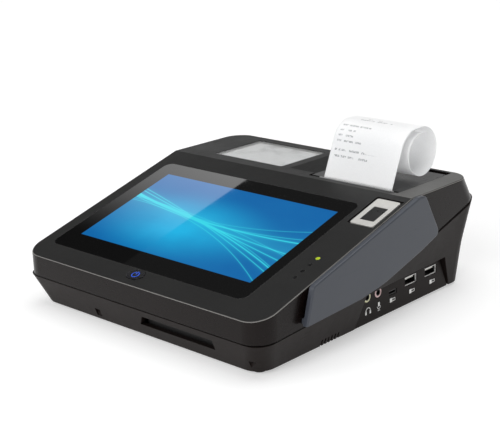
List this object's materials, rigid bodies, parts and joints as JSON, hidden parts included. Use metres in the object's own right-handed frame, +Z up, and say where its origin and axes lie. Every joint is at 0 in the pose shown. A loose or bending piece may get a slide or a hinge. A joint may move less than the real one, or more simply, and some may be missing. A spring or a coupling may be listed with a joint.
{
  "type": "pos touchscreen terminal",
  "caption": "Wedge-shaped counter-top payment terminal with sloping touch screen, lidded receipt printer, card swipe fin, chip card slot and side connectors.",
  "frame": {"origin": "middle of the terminal's bounding box at the level of the table under the rubber feet", "axes": "+X to the right of a cashier facing the screen (the swipe fin's side), +Y to the rear, +Z up"},
  "size_m": [0.2228, 0.2246, 0.1145],
  "materials": {
    "shell_top": "satin fine spark texture",
    "shell_base": "matte fine texture",
    "fin": "satin",
    "screen_glass": "black printed border, gloss",
    "screen_panel": "lit display",
    "sheet_steel": "stamped",
    "key_cap": "gloss",
    "key_light": "lit translucent",
    "lamp_dark": "translucent, unlit",
    "lamp_lit": "translucent, lit",
    "silver_trim": "satin silver paint",
    "sensor_black": "gloss",
    "clear_lens": "clear",
    "light_panel": "light grey print",
    "board": "solder mask",
    "lid": "satin",
    "steel": "ground",
    "rubber": "matte",
    "acetal": "natural acetal",
    "brass": "turned",
    "black_nylon": "moulded",
    "aluminium": "extruded",
    "ceramic_head": "glazed line",
    "paper": "thermal paper",
    "card": "wound board",
    "port_metal": "nickel plate",
    "jack_green": "moulded",
    "jack_pink": "moulded",
    "battery": "shrink sleeve"
  },
  "bodies": {
    "terminal": {"top_housing": "shell_top", "base_housing": "shell_base", "side_fin": "fin", "touch_glass": "screen_glass", "lcd_panel": "screen_panel", "lcd_frame": "sheet_steel", "power_switch": "black_nylon", "key_board": "board", "indicator_lens_1": "lamp_dark", "indicator_lens_2": "lamp_dark", "indicator_lens_3": "lamp_dark", "indicator_lens_4": "lamp_lit", "fingerprint_bezel": "silver_trim", "fingerprint_sensor": "sensor_black", "fingerprint_board": "board", "reader_window_lens": "clear_lens", "reader_window_panel": "light_panel", "contactless_antenna": "board", "lid_hinge_pin": "steel", "tear_bar": "steel", "printer_frame": "sheet_steel", "thermal_head": "ceramic_head", "head_heatsink": "aluminium", "head_springs": "steel", "feed_motor": "steel", "idler_pin": "steel", "paper_bucket": "black_nylon", "paper_web": "paper", "main_board": "board", "processor_shield": "sheet_steel", "io_board": "board", "board_screws": "steel", "usb_port_1": "port_metal", "usb_port_2": "port_metal", "usb_tongues": "acetal", "micro_usb_port": "port_metal", "headphone_jack": "jack_green", "microphone_jack": "jack_pink", "dc_inlet": "black_nylon", "network_port": "port_metal", "card_reader": "black_nylon", "swipe_head": "steel", "battery_pack": "battery", "battery_door": "shell_base", "speaker": "black_nylon", "rubber_feet": "rubber", "base_screws": "steel"},
    "paper": {"receipt": "paper"},
    "lid": {"printer_lid": "lid", "platen_bushes": "brass"},
    "platen": {"platen_roller": "rubber", "platen_shaft": "steel", "platen_gear": "acetal"},
    "roll": {"paper_roll": "paper", "roll_core": "card"},
    "idler": {"idler_gear": "acetal"},
    "pinion": {"motor_pinion": "brass"},
    "key": {"power_key": "key_cap", "power_key_symbol": "key_light"}
  },
  "joints": [
    {"name": "lid_hinge", "type": "hinge", "parent": "terminal", "child": "lid", "pos_m": [0.0529, 0.09555, 0.074], "axis": [-1, 0, 0], "range_deg": [0, 95]},
    {"name": "receipt_feed", "type": "slide", "parent": "lid", "child": "paper", "axis": [0, 0, 1], "range_m": [0, 0.04]},
    {"name": "platen_spin", "type": "hinge", "parent": "lid", "child": "platen", "pos_m": [0.0561, 0.04575, 0.0697], "axis": [1, 0, 0], "continuous": true},
    {"name": "roll_spin", "type": "hinge", "parent": "terminal", "child": "roll", "pos_m": [0.0563, 0.07475, 0.0473], "axis": [1, 0, 0], "continuous": true},
    {"name": "idler_spin", "type": "hinge", "parent": "terminal", "child": "idler", "pos_m": [0.0891, 0.04575, 0.05438], "axis": [1, 0, 0], "continuous": true},
    {"name": "pinion_spin", "type": "hinge", "parent": "terminal", "child": "pinion", "pos_m": [0.0891, 0.03323, 0.04982], "axis": [1, 0, 0], "continuous": true},
    {"name": "power_key_press", "type": "slide", "parent": "terminal", "child": "key", "axis": [0, 0.274, -0.9617], "range_m": [0, 0.0006], "stiffness_N_per_m": 800, "springref_m": -0.0005}
  ],
  "couplings": [
    {"joint": "platen_spin", "follows": "roll_spin", "ratio": -3.94},
    {"joint": "idler_spin", "follows": "roll_spin", "ratio": 2.2983},
    {"joint": "pinion_spin", "follows": "roll_spin", "ratio": -6.1289}
  ]
}
